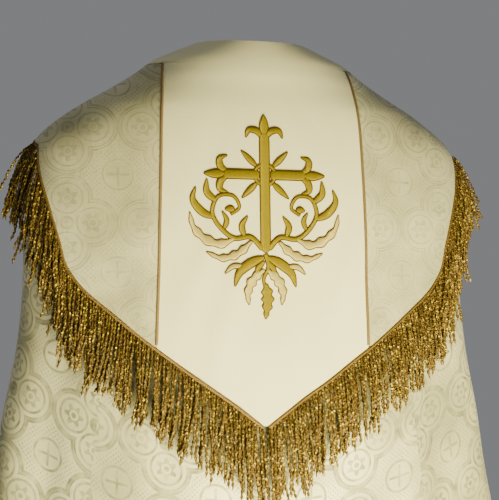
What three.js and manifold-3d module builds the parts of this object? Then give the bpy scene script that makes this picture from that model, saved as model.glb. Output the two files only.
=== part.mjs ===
// A ceremonial cope. A bell of ivory brocade hangs from the shoulders and is open down the front.
// A cream orphrey band goes round the neck and down both front edges, a shield-shaped hood with
// gold embroidery and bullion fringe hangs over the back, and a tab clasps the front.
// Millimetres, +Z up. The wearer faces +Y, so the hood is on the -Y side. Z = 0 is the neckline.

import * as THREE from 'three';
import Module from 'manifold-3d';
import { mergeVertices } from 'three/addons/utils/BufferGeometryUtils.js';

// ---- driving dimensions ----
const LENGTH = 1450;            // neckline to hem at the centre back
const CENTRE_Y = -8;            // middle of the bell from front to back
const ORPHREY_WIDTH = 100;
const ORPHREY_NECK_DEPTH = 52;  // how far down the shoulders the neck part of the orphrey reaches
const BACK_SEAM_DEG = 40;       // the two back seams, measured round from the centre back
const HOOD_LIFT = 12;           // the hood lies this far off the bell, sideways and back
const HOOD_RISE = 6;            // and this far above it on the shoulders
const HOOD_LENGTH = 558;
const HOOD_CORNER_DEPTH = 150;  // where the hood's top edge ends on the shoulder
const HOOD_SEAM_END = 445;      // where the braids of the hood meet its lower edge
const FRINGE_LENGTH = 112;
const SEAM_GAP = 0.35;          // half the clearance between two pieces sewn edge to edge
const BRAID_WIDTH = 4.6;
const HEADER_WIDTH = 5;
const HEM_TAPE_DEPTH = 40;

// The bell at each depth: half its width, half its thickness from front to back.
const BELL = [
  [0, 64, 56], [14, 96, 64], [32, 135, 73], [52, 161, 81], [76, 197, 88], [105, 245, 97],
  [150, 302, 108], [210, 326, 119], [290, 339, 129], [400, 343, 139], [560, 366, 155],
  [760, 395, 175], [1000, 426, 203], [1450, 486, 256],
];
// Half the gap between the front edges at each depth.
const FRONT_GAP = [[0, 57], [60, 52], [120, 42], [190, 30], [270, 30], [1450, 62]];
// Half the width of the hood, and of its centre panel between the braids.
const HOOD_EDGE = [
  [150, 316], [200, 313], [250, 300], [300, 285], [340, 273], [372, 248], [405, 209],
  [445, 159], [485, 104], [525, 46], [558, 3],
];
const HOOD_PANEL = [[32, 137], [52, 140], [105, 145], [200, 148], [300, 150], [445, 153]];

const BELL_ROWS = [0, 14, 32, 52, 76, 105, 150, 210, 290, 400, 540, 720, 930, 1170, 1410, LENGTH];
const HOOD_ROWS = [0, 14, 32, 52, 76, 105, 150, 200, 250, 300, 340, 372, 405, 445, 500, HOOD_LENGTH];
const BACK_COLUMNS = 6;
const SIDE_COLUMNS = 9;
const ORPHREY_COLUMNS = 2;
const HOOD_SIDE_COLUMNS = 4;
const HOOD_CENTRE_COLUMNS = 6;

// Layers, as [inner, outer] distances off the bell's or the hood's own surface.
const LAYER = {
  neckFacing: [-5.2, -3.6],
  hemTape: [-4.4, -3.6],
  lining: [-3.3, -2.2],
  canvas: [-1.9, -1.0],
  orphrey: [-0.7, 0.9],
  panel: [-1.9, 0.9],
  orphreyBraid: [1.4, 2.8],
  hoodLining: [0, 1.0],
  hoodCanvas: [1.35, 2.3],
  hoodPanel: [2.65, 4.4],
  hoodBraid: [5.0, 6.4],
  header: [0.8, 5.2],
  fringe: [-1, 7],
  embroidery: [5.6, 7.4],
};

// ---- materials ----
const cloth = (color, roughness = 0.75, metalness = 0) =>
  new THREE.MeshStandardMaterial({ color, roughness, metalness });
const BROCADE = cloth(0xe8e2c4, 0.7);
const SATIN = cloth(0xeee4ba, 0.5);
const LINING = cloth(0xe9ddb0, 0.45);
const CANVAS = cloth(0xcfc6ae, 0.9);
const BRAID = cloth(0x9a7424, 0.5, 0.4);
const BULLION = cloth(0xb58a24, 0.35, 0.7);
const THREAD = cloth(0xc9a01c, 0.4, 0.5);
const METAL = cloth(0xb9a25a, 0.3, 1);

// ---- number helpers ----
const radians = THREE.MathUtils.degToRad;
const { lerp, clamp } = THREE.MathUtils;

function profile(rows, column) {
  const depths = rows.map((row) => row[0]);
  const values = rows.map((row) => row[column]);
  const curve = new THREE.CubicInterpolant(depths, values, 1);
  const last = depths.length - 1;
  return (depth) => curve.evaluate(clamp(depth, depths[0], depths[last]))[0];
}
const bellWidth = profile(BELL, 1);
const bellDepth = profile(BELL, 2);
const frontGap = profile(FRONT_GAP, 1);
const hoodEdge = profile(HOOD_EDGE, 1);
const hoodPanel = profile(HOOD_PANEL, 1);
const squareness = (depth) => lerp(2, 2.4, clamp(depth / 100, 0, 1));

// The soft flutes that the cloth falls into below the arms and, lower down, across the back.
function flute(angle, depth) {
  const round = Math.abs(THREE.MathUtils.radToDeg(angle));
  const side = clamp((round - 34) / 24, 0, 1);
  const sideFall = 30 * clamp((depth - 300) / 1150, 0, 1) ** 0.8;
  const backFall = 16 * clamp((depth - 640) / 810, 0, 1);
  const sideWave = Math.cos(radians((round - 72) * 8));
  const backWave = Math.cos(radians(round * 9)) * (1 - side);
  return sideFall * side * sideWave + backFall * backWave;
}

// A point on a squarish oval, from its half width, half thickness and the angle round from the back.
function ovalPoint(width, thickness, angle, depth, push = 0) {
  const power = squareness(depth);
  const across = Math.sin(angle);
  const along = Math.sign(Math.cos(angle)) * Math.max(0, 1 - Math.abs(across) ** power) ** (1 / power);
  return new THREE.Vector3(
    (width + push) * across,
    CENTRE_Y - (thickness + push) * along,
    -depth,
  );
}
const bellPoint = (angle, depth) =>
  ovalPoint(bellWidth(depth), bellDepth(depth), angle, depth, flute(angle, depth));
const hoodWidth = (depth) => bellWidth(depth + HOOD_RISE) + HOOD_LIFT;
const hoodThickness = (depth) => bellDepth(depth + HOOD_RISE) + HOOD_LIFT;
const hoodPoint = (angle, depth) => ovalPoint(hoodWidth(depth), hoodThickness(depth), angle, depth);
const hoodAt = (x, depth) => hoodPoint(Math.asin(clamp(x / hoodWidth(depth), -1, 1)), depth);

// ---- sheet helpers ----
const between = (from, to, count) => Array.from({ length: count }, (_, i) => lerp(from, to, i / count));
const mirrored = (grid) =>
  grid.map((row) => row.map((p) => new THREE.Vector3(-p.x, p.y, p.z)).reverse());

function gridNormal(grid, i, j) {
  const down = grid[Math.min(i + 1, grid.length - 1)][j].clone().sub(grid[Math.max(i - 1, 0)][j]);
  const across = grid[i][Math.min(j + 1, grid[i].length - 1)].clone().sub(grid[i][Math.max(j - 1, 0)]);
  return down.cross(across).normalize();
}

// A closed solid over the grid cells that keep(i, j) picks, between two distances off the grid.
function sheetGeometry(grid, [inner, outer], keep = () => true) {
  const rows = grid.length - 1;
  const columns = grid[0].length - 1;
  const kept = (i, j) => i >= 0 && j >= 0 && i < rows && j < columns && keep(i, j);
  const positions = [];
  const indices = [];
  const seen = new Map();

  function vertex(i, j, off) {
    const key = `${i},${j},${off}`;
    if (seen.has(key)) return seen.get(key);
    const cells = [[i - 1, j - 1], [i - 1, j], [i, j - 1], [i, j]].filter(([a, b]) => kept(a, b));
    const point = grid[i][j].clone().addScaledVector(gridNormal(grid, i, j), off);
    if (cells.length < 4) {
      const pull = new THREE.Vector3();
      for (const [a, b] of cells) {
        const corners = [grid[a][b], grid[a + 1][b], grid[a][b + 1], grid[a + 1][b + 1]];
        const middle = corners.reduce((sum, p) => sum.add(p), new THREE.Vector3()).divideScalar(4);
        pull.add(middle.sub(grid[i][j]).normalize());
      }
      point.addScaledVector(pull.normalize(), SEAM_GAP * (cells.length === 1 ? 1.5 : 1));
    }
    positions.push(point.x, point.y, point.z);
    seen.set(key, positions.length / 3 - 1);
    return positions.length / 3 - 1;
  }
  const quad = (a, b, c, d) => indices.push(a, b, c, a, c, d);

  for (let i = 0; i < rows; i++) {
    for (let j = 0; j < columns; j++) {
      if (!kept(i, j)) continue;
      const ring = [[i, j], [i + 1, j], [i + 1, j + 1], [i, j + 1]];
      const over = ring.map(([a, b]) => vertex(a, b, outer));
      const under = ring.map(([a, b]) => vertex(a, b, inner));
      quad(...over);
      indices.push(under[0], under[2], under[1], under[0], under[3], under[2]);
      const beside = [[i, j - 1], [i + 1, j], [i, j + 1], [i - 1, j]];
      beside.forEach(([a, b], side) => {
        const next = (side + 1) % 4;
        if (!kept(a, b)) quad(over[next], over[side], under[side], under[next]);
      });
    }
  }
  const geometry = new THREE.BufferGeometry();
  geometry.setAttribute('position', new THREE.Float32BufferAttribute(positions, 3));
  geometry.setIndex(indices);
  geometry.computeVertexNormals();
  return geometry;
}

const cope = new THREE.Group();
const bell = new THREE.Group();
const hood = new THREE.Group();
const clasp = new THREE.Group();
cope.add(bell, hood, clasp);

function place(group, name, geometry, material) {
  const mesh = new THREE.Mesh(geometry, material);
  mesh.name = name;
  group.add(mesh);
  return mesh;
}

// ---- the bell: brocade panels, orphrey, canvas, lining ----
function bellAngles(depth) {
  const width = bellWidth(depth);
  const gap = frontGap(depth);
  const seam = radians(BACK_SEAM_DEG);
  const edge = Math.PI - Math.asin(gap / width);
  const neckEdge = Math.PI - Math.asin(0.985);
  const bandAt = (d) => Math.PI - Math.asin(Math.min(0.985, (frontGap(d) + ORPHREY_WIDTH) / bellWidth(d)));
  let band = bandAt(depth);
  if (depth < ORPHREY_NECK_DEPTH) {
    band = lerp(edge - radians(14), neckEdge, depth / ORPHREY_NECK_DEPTH);
  }
  const half = [
    ...between(seam, band, SIDE_COLUMNS),
    ...between(band, edge, ORPHREY_COLUMNS),
    edge,
  ];
  const back = between(-seam, seam, BACK_COLUMNS);
  const left = half.map((angle) => -angle).reverse();
  return [...left.slice(0, -1), ...back, ...half];
}
const bellGrid = BELL_ROWS.map((depth) => bellAngles(depth).map((angle) => bellPoint(angle, depth)));
const neckRow = BELL_ROWS.indexOf(ORPHREY_NECK_DEPTH);
const bandEnd = ORPHREY_COLUMNS;
const leftEnd = bandEnd + SIDE_COLUMNS;
const backEnd = leftEnd + BACK_COLUMNS;
const rightEnd = backEnd + SIDE_COLUMNS;

const STRIPES = {
  left: (j) => j >= bandEnd && j < leftEnd,
  back: (j) => j >= leftEnd && j < backEnd,
  right: (j) => j >= backEnd && j < rightEnd,
};
const LINING_STRIPES = {
  left: (j) => j < leftEnd,
  back: STRIPES.back,
  right: (j) => j >= backEnd,
};
for (const [side, stripe] of Object.entries(STRIPES)) {
  const panel = sheetGeometry(bellGrid, LAYER.panel, (i, j) => i >= neckRow && stripe(j));
  place(bell, `brocade_${side}`, panel, BROCADE);
}
for (const [side, stripe] of Object.entries(LINING_STRIPES)) {
  place(bell, `lining_${side}`, sheetGeometry(bellGrid, LAYER.lining, (i, j) => stripe(j)), LINING);
}
const BANDS = {
  left: (i, j) => i >= neckRow && j < bandEnd,
  neck: (i) => i < neckRow,
  right: (i, j) => i >= neckRow && j >= rightEnd,
};
for (const [part, keep] of Object.entries(BANDS)) {
  place(bell, `orphrey_${part}`, sheetGeometry(bellGrid, LAYER.orphrey, keep), SATIN);
  place(bell, `orphrey_canvas_${part}`, sheetGeometry(bellGrid, LAYER.canvas, keep), CANVAS);
}

// The tape that finishes the hem inside, and the facing inside the neck.
const hemRow = BELL_ROWS.length - 2;
for (const [side, stripe] of Object.entries(LINING_STRIPES)) {
  const tape = sheetGeometry(bellGrid, LAYER.hemTape, (i, j) => i >= hemRow && stripe(j));
  place(bell, `hem_tape_${side}`, tape, SATIN);
}
const facingRows = BELL_ROWS.indexOf(32);
place(bell, 'neck_facing', sheetGeometry(bellGrid, LAYER.neckFacing, (i) => i < facingRows), LINING);

// A narrow ribbon along a line of points, laid on the surface with the given across directions.
function ribbonGrid(points, across, from, to) {
  return points.map((point, i) =>
    [from, to].map((distance) => point.clone().addScaledVector(across[i], distance)));
}
function seamRibbon(grid, column, firstRow, lastRow, width) {
  const points = [];
  const across = [];
  for (let i = firstRow; i <= lastRow; i++) {
    points.push(grid[i][column]);
    across.push(grid[i][column + 1].clone().sub(grid[i][column - 1]).normalize());
  }
  return ribbonGrid(points, across, -width / 2, width / 2);
}
const lastBellRow = BELL_ROWS.length - 1;
const rightBraid = seamRibbon(bellGrid, rightEnd, neckRow + 1, lastBellRow, BRAID_WIDTH);
place(bell, 'orphrey_braid_right', sheetGeometry(rightBraid, LAYER.orphreyBraid), BRAID);
place(bell, 'orphrey_braid_left', sheetGeometry(mirrored(rightBraid), LAYER.orphreyBraid), BRAID);

// ---- the hood: its columns crowd towards the shoulder, where the cloth turns sharply ----
const SHOULDER_CROWDING = 1.5;
function hoodAngles(depth) {
  const width = hoodWidth(depth);
  const edge = depth <= HOOD_CORNER_DEPTH ? Math.PI / 2 : Math.asin(hoodEdge(depth) / width);
  const seamed = depth >= 32 && depth <= HOOD_SEAM_END;
  const seam = seamed ? Math.asin(hoodPanel(depth) / width) : edge * 0.8;
  const half = [
    ...between(0, seam, HOOD_CENTRE_COLUMNS / 2),
    ...between(0, 1, HOOD_SIDE_COLUMNS).map((t) => lerp(edge, seam, (1 - t) ** SHOULDER_CROWDING)),
    edge,
  ];
  const left = half.slice(1).map((angle) => -angle).reverse();
  return [...left, ...half];
}
const hoodGrid = HOOD_ROWS.map((depth) => hoodAngles(depth).map((angle) => hoodPoint(angle, depth)));
const seamTop = HOOD_ROWS.indexOf(32);
const seamFoot = HOOD_ROWS.indexOf(HOOD_SEAM_END);
const hoodColumns = 2 * HOOD_SIDE_COLUMNS + HOOD_CENTRE_COLUMNS;
const inSideRows = (i) => i >= seamTop && i < seamFoot;
const isLeft = (i, j) => inSideRows(i) && j < HOOD_SIDE_COLUMNS;
const isRight = (i, j) => inSideRows(i) && j >= hoodColumns - HOOD_SIDE_COLUMNS;
const isCentre = (i, j) => !isLeft(i, j) && !isRight(i, j);

place(hood, 'hood_panel_centre', sheetGeometry(hoodGrid, LAYER.hoodPanel, isCentre), SATIN);
place(hood, 'hood_panel_left', sheetGeometry(hoodGrid, LAYER.hoodPanel, isLeft), BROCADE);
place(hood, 'hood_panel_right', sheetGeometry(hoodGrid, LAYER.hoodPanel, isRight), BROCADE);
place(hood, 'hood_canvas', sheetGeometry(hoodGrid, LAYER.hoodCanvas), CANVAS);
place(hood, 'hood_lining', sheetGeometry(hoodGrid, LAYER.hoodLining), LINING);

const seamColumn = hoodColumns - HOOD_SIDE_COLUMNS;
const hoodBraid = seamRibbon(hoodGrid, seamColumn, seamTop + 1, seamFoot - 1, BRAID_WIDTH);
place(hood, 'hood_braid_right', sheetGeometry(hoodBraid, LAYER.hoodBraid), BRAID);
place(hood, 'hood_braid_left', sheetGeometry(mirrored(hoodBraid), LAYER.hoodBraid), BRAID);

// The fringe header runs along the hood's edge, and the bullion hangs from it. Strands splay
// outwards at the shoulder and hang straight at the point.
const cornerRow = HOOD_ROWS.indexOf(HOOD_CORNER_DEPTH);
const edgePoints = hoodGrid.slice(cornerRow).map((row) => row[hoodColumns].clone());
const edgeAcross = edgePoints.map((point, i) => {
  const next = edgePoints[Math.min(i + 1, edgePoints.length - 1)];
  const last = edgePoints[Math.max(i - 1, 0)];
  const normal = gridNormal(hoodGrid, cornerRow + i, hoodColumns);
  return normal.cross(next.clone().sub(last)).normalize();
});
const TIP_CLEARANCE = 0.8;
const headerFoot = SEAM_GAP + HEADER_WIDTH;
const headerGrid = ribbonGrid(edgePoints, edgeAcross, SEAM_GAP, headerFoot);
for (const point of headerGrid.flat()) {
  point.x = Math.max(point.x, TIP_CLEARANCE);
}
place(hood, 'fringe_header_right', sheetGeometry(headerGrid, LAYER.header), BRAID);
place(hood, 'fringe_header_left', sheetGeometry(mirrored(headerGrid), LAYER.header), BRAID);

function fringeFoot(root) {
  const splay = radians(22 * clamp((root.x - 120) / 170, 0, 1));
  const x = root.x + FRINGE_LENGTH * Math.sin(splay);
  return [x, -root.z + FRINGE_LENGTH * Math.cos(splay)];
}
function backY(x, depth) {
  const width = Math.max(hoodWidth(depth), x + 3);
  return ovalPoint(width, hoodThickness(depth), Math.asin(x / width), depth).y;
}
const fringeGrid = headerGrid.map(([, root]) => {
  const [footX, footDepth] = fringeFoot(root);
  return [0.02, 0.35, 0.7, 1].map((along) => {
    const x = lerp(root.x, footX, along);
    const depth = lerp(-root.z, footDepth, along);
    const y = lerp(root.y, backY(x, depth), along);
    return new THREE.Vector3(x, y, -depth);
  });
});
const hoodShoulder = HOOD_ROWS.indexOf(372) - cornerRow;
const FRINGES = { side: (i) => i < hoodShoulder, lower: (i) => i >= hoodShoulder };
for (const [part, keep] of Object.entries(FRINGES)) {
  place(hood, `fringe_${part}_right`, sheetGeometry(fringeGrid, LAYER.fringe, keep), BULLION);
  const leftFringe = sheetGeometry(mirrored(fringeGrid), LAYER.fringe, keep);
  place(hood, `fringe_${part}_left`, leftFringe, BULLION);
}

// ---- embroidery on the hood: a flared cross, two scrolls and a leaf spray ----
const wasm = await Module();
wasm.setup();

function asSolid(geometry) {
  const bare = geometry.clone();
  bare.deleteAttribute('normal');
  bare.deleteAttribute('uv');
  const merged = mergeVertices(bare, 1e-4);
  return new wasm.Manifold(new wasm.Mesh({
    numProp: 3,
    vertProperties: new Float32Array(merged.attributes.position.array),
    triVerts: new Uint32Array(merged.index.array),
  }));
}
function asGeometry(solid) {
  const mesh = solid.getMesh();
  const geometry = new THREE.BufferGeometry();
  geometry.setAttribute('position', new THREE.BufferAttribute(mesh.vertProperties, 3));
  geometry.setIndex(new THREE.BufferAttribute(mesh.triVerts, 1));
  geometry.computeVertexNormals();
  return geometry;
}
const joined = (geometries) =>
  asGeometry(geometries.map(asSolid).reduce((whole, solid) => whole.add(solid)));

// A stitched strip along path(t) = [x, depth], halfWidth(t) to each side, laid on the hood.
function stitchedStrip(path, halfWidth, steps) {
  const step = 0.01;
  const grid = [];
  for (let i = 0; i <= steps; i++) {
    const t = i / steps;
    const [x, depth] = path(t);
    const [x0, depth0] = path(t - step);
    const [x1, depth1] = path(t + step);
    const length = Math.hypot(x1 - x0, depth1 - depth0);
    const side = [(depth1 - depth0) / length, -(x1 - x0) / length];
    grid.push([-1, 0, 1].map((s) =>
      hoodAt(x + s * side[0] * halfWidth(t), depth + s * side[1] * halfWidth(t))));
  }
  return sheetGeometry(grid, LAYER.embroidery);
}
const CROSS = { top: 113, foot: 312, armDepth: 202, armReach: 88, half: 7, flare: 9 };
const flared = (t) => CROSS.half + CROSS.flare * Math.abs(2 * t - 1) ** 5;
const upright = stitchedStrip((t) => [0, lerp(CROSS.top, CROSS.foot, t)], flared, 10);
const arms = stitchedStrip((t) => [lerp(-CROSS.armReach, CROSS.armReach, t), CROSS.armDepth], flared, 8);
place(hood, 'embroidery_cross', joined([upright, arms]), THREAD);

// Each scroll's [x, depth], from beside the foot of the cross, out, up and round into its curl.
const SCROLL = { half: 4, steps: 22, line: [[22, 296], [44, 296], [66, 280], [78, 256], [68, 234],
  [48, 232], [38, 248], [50, 260]] };
const scrollCurve = new THREE.SplineCurve(SCROLL.line.map(([x, depth]) => new THREE.Vector2(x, depth)));
for (const [side, sign] of [['left', -1], ['right', 1]]) {
  const path = (t) => {
    const point = scrollCurve.getPoint(clamp(t, 0, 1));
    return [sign * point.x, point.y];
  };
  const strip = stitchedStrip(path, () => SCROLL.half, SCROLL.steps);
  place(hood, `embroidery_scroll_${side}`, strip, THREAD);
}
const SPRAY = { top: 318, foot: 406, sideX: 44, sideFoot: 380, half: 7 };
const leafWidth = (t) => 1 + SPRAY.half * Math.sin(Math.PI * clamp(t, 0, 1));
const leafTo = (x, foot) => stitchedStrip((t) => [x * t, lerp(SPRAY.top, foot, t)], leafWidth, 5);
const leaves = [leafTo(0, SPRAY.foot), leafTo(-SPRAY.sideX, SPRAY.sideFoot), leafTo(SPRAY.sideX, SPRAY.sideFoot)];
place(hood, 'embroidery_spray', joined(leaves), THREAD);

// ---- the buttons under the hood's top edge, with their loops, and the hanging loop ----
function frameOn(angle, depth) {
  const step = 0.01;
  const across = bellPoint(angle + step, depth).sub(bellPoint(angle - step, depth)).normalize();
  const down = bellPoint(angle, depth + 1).sub(bellPoint(angle, depth - 1)).normalize();
  const out = down.clone().cross(across).normalize();
  return new THREE.Matrix4().makeBasis(across, out, across.clone().cross(out))
    .setPosition(bellPoint(angle, depth));
}
const BUTTON = { radius: 6, height: 2.4, base: 2.2, depth: 24, angles: [-48, 0, 48] };
const LOOP = { radius: 8.4, cord: 0.8 };
BUTTON.angles.forEach((degrees, index) => {
  const seat = frameOn(radians(degrees), BUTTON.depth);
  const button = new THREE.CylinderGeometry(BUTTON.radius - 1, BUTTON.radius, BUTTON.height, 12);
  button.translate(0, BUTTON.base + BUTTON.height / 2, 0).applyMatrix4(seat);
  place(bell, `hood_button_${index + 1}`, button, METAL);
  const loop = new THREE.TorusGeometry(LOOP.radius, LOOP.cord, 5, 10);
  loop.rotateX(Math.PI / 2).translate(0, BUTTON.base + LOOP.cord + 0.3, 0).applyMatrix4(seat);
  place(bell, `hood_loop_${index + 1}`, loop, BRAID);
});

function roundBar(points, radius, steps) {
  const section = new THREE.Shape();
  section.absarc(0, 0, radius, 0, Math.PI * 2);
  const path = new THREE.CatmullRomCurve3(points.map((p) => new THREE.Vector3(...p)));
  return new THREE.ExtrudeGeometry(section, { steps, extrudePath: path, curveSegments: 3 });
}
const loopY = CENTRE_Y - bellDepth(0) + 9;
const hangingLoop = roundBar([[-14, loopY, -4], [-12, loopY + 1, -20], [0, loopY + 2, -28],
  [12, loopY + 1, -20], [14, loopY, -4]], 1.5, 12);
place(bell, 'hanging_loop', hangingLoop, BRAID);

// ---- the clasp: a stiffened tab sewn to the left band, hooked to the right band ----
const TAB = { depth: 232, half: 76, tall: 42, lift: 5, thick: 2.6, lining: 1.2, braid: 1.4, corner: 8 };
const frontY = (depth) => CENTRE_Y + bellDepth(depth);
const slope = Math.atan2(frontY(TAB.depth + TAB.tall) - frontY(TAB.depth - TAB.tall), 2 * TAB.tall);
clasp.position.set(0, frontY(TAB.depth), -TAB.depth);
clasp.rotation.x = slope;

function roundedOutline(shape, halfX, halfZ, corner) {
  shape.moveTo(-halfX + corner, -halfZ);
  shape.absarc(halfX - corner, -halfZ + corner, corner, -Math.PI / 2, 0);
  shape.absarc(halfX - corner, halfZ - corner, corner, 0, Math.PI / 2);
  shape.absarc(-halfX + corner, halfZ - corner, corner, Math.PI / 2, Math.PI);
  shape.absarc(-halfX + corner, -halfZ + corner, corner, Math.PI, Math.PI * 1.5);
  return shape;
}
// A flat piece standing up in the clasp's own plane, from one distance off the bands to another.
function plate(shape, from, to) {
  const geometry = new THREE.ExtrudeGeometry(shape, { depth: to - from, bevelEnabled: false, curveSegments: 3 });
  return geometry.rotateX(Math.PI / 2).translate(0, to, 0);
}
const tabOutline = () => roundedOutline(new THREE.Shape(), TAB.half, TAB.tall, TAB.corner);
const tabInner = TAB.lift;
const tabTop = tabInner + TAB.lining + 0.3 + TAB.thick;
place(clasp, 'clasp_lining', plate(tabOutline(), tabInner, tabInner + TAB.lining), LINING);
place(clasp, 'clasp_tab', plate(tabOutline(), tabTop - TAB.thick, tabTop), SATIN);
const tabBraid = roundedOutline(new THREE.Shape(), TAB.half - 3, TAB.tall - 3, TAB.corner);
tabBraid.holes.push(roundedOutline(new THREE.Path(), TAB.half - 8, TAB.tall - 8, TAB.corner - 3));
place(clasp, 'clasp_braid', plate(tabBraid, tabTop + 0.3, tabTop + 0.3 + TAB.braid), BRAID);
const CLASP_CROSS = { reach: 24, half: 4, flare: 8 };
const claspCross = new THREE.Shape();
for (let quarter = 0; quarter < 4; quarter++) {
  const corners = [
    [CLASP_CROSS.half, CLASP_CROSS.half], [CLASP_CROSS.half, CLASP_CROSS.reach * 0.5],
    [CLASP_CROSS.flare, CLASP_CROSS.reach], [-CLASP_CROSS.flare, CLASP_CROSS.reach],
    [-CLASP_CROSS.half, CLASP_CROSS.reach * 0.5],
  ];
  for (const [x, y] of corners) {
    const turned = new THREE.Vector2(x, y).rotateAround(new THREE.Vector2(), quarter * Math.PI / 2);
    if (quarter === 0 && x === CLASP_CROSS.half && y === CLASP_CROSS.half) {
      claspCross.moveTo(turned.x, turned.y);
    } else {
      claspCross.lineTo(turned.x, turned.y);
    }
  }
}
place(clasp, 'clasp_cross', plate(claspCross, tabTop + 0.3, tabTop + 0.3 + TAB.braid), THREAD);

// Two hooks under the tab's free end and the two eyes that they catch on the right band.
const HOOK = { x: 54, z: 20, wire: 0.7 };
[1, -1].forEach((up, index) => {
  const z = up * HOOK.z;
  const hook = roundBar([[HOOK.x + 12, 4.0, z - 2], [HOOK.x + 4, 4.0, z - 2], [HOOK.x, 3.6, z],
    [HOOK.x + 4, 4.0, z + 2], [HOOK.x + 12, 4.0, z + 2]], HOOK.wire, 10);
  place(clasp, `clasp_hook_${index + 1}`, hook, METAL);
  const eye = roundBar([[HOOK.x + 10, 2.0, z - 5], [HOOK.x + 2, 2.0, z - 4], [HOOK.x - 1, 2.0, z],
    [HOOK.x + 2, 2.0, z + 4], [HOOK.x + 10, 2.0, z + 5]], HOOK.wire, 10);
  place(clasp, `clasp_eye_${index + 1}`, eye, METAL);
});

export default cope;
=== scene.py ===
import math
import bpy
import numpy as np
from mathutils import Matrix, Vector


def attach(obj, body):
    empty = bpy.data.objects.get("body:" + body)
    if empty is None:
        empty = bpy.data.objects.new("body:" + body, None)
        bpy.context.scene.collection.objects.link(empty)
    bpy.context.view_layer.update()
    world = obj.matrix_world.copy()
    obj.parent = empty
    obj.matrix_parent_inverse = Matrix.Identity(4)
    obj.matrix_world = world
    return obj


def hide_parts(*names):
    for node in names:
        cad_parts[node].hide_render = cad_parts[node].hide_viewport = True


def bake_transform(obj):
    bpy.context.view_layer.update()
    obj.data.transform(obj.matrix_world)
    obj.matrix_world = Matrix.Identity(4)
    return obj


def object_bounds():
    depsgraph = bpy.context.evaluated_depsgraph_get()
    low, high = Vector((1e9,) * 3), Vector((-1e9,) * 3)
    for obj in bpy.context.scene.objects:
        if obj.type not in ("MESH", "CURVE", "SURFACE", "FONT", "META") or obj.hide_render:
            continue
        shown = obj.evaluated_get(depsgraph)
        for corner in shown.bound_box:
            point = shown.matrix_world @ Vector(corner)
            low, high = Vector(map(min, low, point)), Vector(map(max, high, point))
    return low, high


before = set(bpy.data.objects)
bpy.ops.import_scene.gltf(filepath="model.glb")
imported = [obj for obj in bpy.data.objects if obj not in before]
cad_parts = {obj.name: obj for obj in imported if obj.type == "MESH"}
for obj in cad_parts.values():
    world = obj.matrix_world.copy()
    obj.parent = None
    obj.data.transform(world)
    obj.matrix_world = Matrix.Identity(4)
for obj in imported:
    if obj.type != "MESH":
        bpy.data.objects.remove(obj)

cad_box = [list(corner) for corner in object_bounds()]

# ---- camera, light and floor ----
# The cope is seen from behind, from a little to its left and level with the shoulder blades.
VIEW_TARGET = Vector((-0.018, -0.130, -0.310))
VIEW_DISTANCE = 1.60
VIEW_AZIMUTH = math.radians(-11)
VIEW_ROLL = math.radians(0.9)
FRAME_WIDTH = 0.725
camera_data = bpy.data.cameras.new("camera")
camera_data.sensor_width = 36.0
camera_data.lens = camera_data.sensor_width * VIEW_DISTANCE / FRAME_WIDTH
camera = bpy.data.objects.new("camera", camera_data)
bpy.context.scene.collection.objects.link(camera)
camera.location = VIEW_TARGET + VIEW_DISTANCE * Vector(
    (math.sin(VIEW_AZIMUTH), -math.cos(VIEW_AZIMUTH), 0.0))
aim = (VIEW_TARGET - camera.location).to_track_quat("-Z", "Y")
camera.rotation_euler = (aim.to_matrix() @ Matrix.Rotation(VIEW_ROLL, 3, "Z")).to_euler()
bpy.context.scene.camera = camera


def soft_light(name, place, size, watts, colour, spread=180):
    data = bpy.data.lights.new(name, "AREA")
    data.shape = "DISK"
    data.size = size
    data.energy = watts
    data.spread = math.radians(spread)
    data.color = colour
    lamp = bpy.data.objects.new(name, data)
    bpy.context.scene.collection.objects.link(lamp)
    lamp.location = place
    lamp.rotation_euler = (VIEW_TARGET - lamp.location).to_track_quat("-Z", "Y").to_euler()


soft_light("key", Vector((0.28, -0.98, -1.16)), 0.8, 46, (1.0, 0.93, 0.56), 130)
soft_light("side_fill", Vector((-1.6, -1.2, -1.0)), 1.0, 6, (1.0, 0.97, 0.85))
soft_light("front_fill", Vector((0.6, 2.8, -0.5)), 1.6, 52, (1.0, 0.97, 0.90))

world = bpy.data.worlds.new("studio")
world.use_nodes = True
studio = world.node_tree
studio.nodes["Background"].inputs["Color"].default_value = (0.385, 0.390, 0.400, 1)
studio.nodes["Background"].inputs["Strength"].default_value = 0.55
bpy.context.scene.world = world

FLOOR_DROP = 0.012
FLOOR_RADIUS = 2.4
FLOOR_SIDES = 96
floor_mesh = bpy.data.meshes.new("floor")
rim = [(FLOOR_RADIUS * math.cos(a), FLOOR_RADIUS * math.sin(a), cad_box[0][2] - FLOOR_DROP)
       for a in np.linspace(0, 2 * math.pi, FLOOR_SIDES, endpoint=False)]
floor_mesh.from_pydata(rim, [], [list(range(len(rim)))])
floor = bpy.data.objects.new("floor", floor_mesh)
bpy.context.scene.collection.objects.link(floor)
floor_paint = bpy.data.materials.new("floor_paint")
floor_paint.use_nodes = True
floor_shader = floor_paint.node_tree.nodes["Principled BSDF"]
floor_shader.inputs["Base Color"].default_value = (0.72, 0.72, 0.73, 1)
floor_shader.inputs["Roughness"].default_value = 0.7
floor_mesh.materials.append(floor_paint)


# ---- the bell of brocade ----
# Three panels of ivory silk brocade, sewn at two back seams, hang from the shoulders in soft
# flutes. They are cut from about half a circle of cloth, 1.45 m from neck to hem.
MM = 0.001
LENGTH = 1450
CENTRE_Y = -8
BACK_SEAM = math.radians(40)
CUT_EDGE = math.radians(50)
ORPHREY_WIDTH = 100
ORPHREY_NECK_DEPTH = 52
SIDE_FOLD, BACK_FOLD, FINE_FOLD = 30, 16, 5
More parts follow.
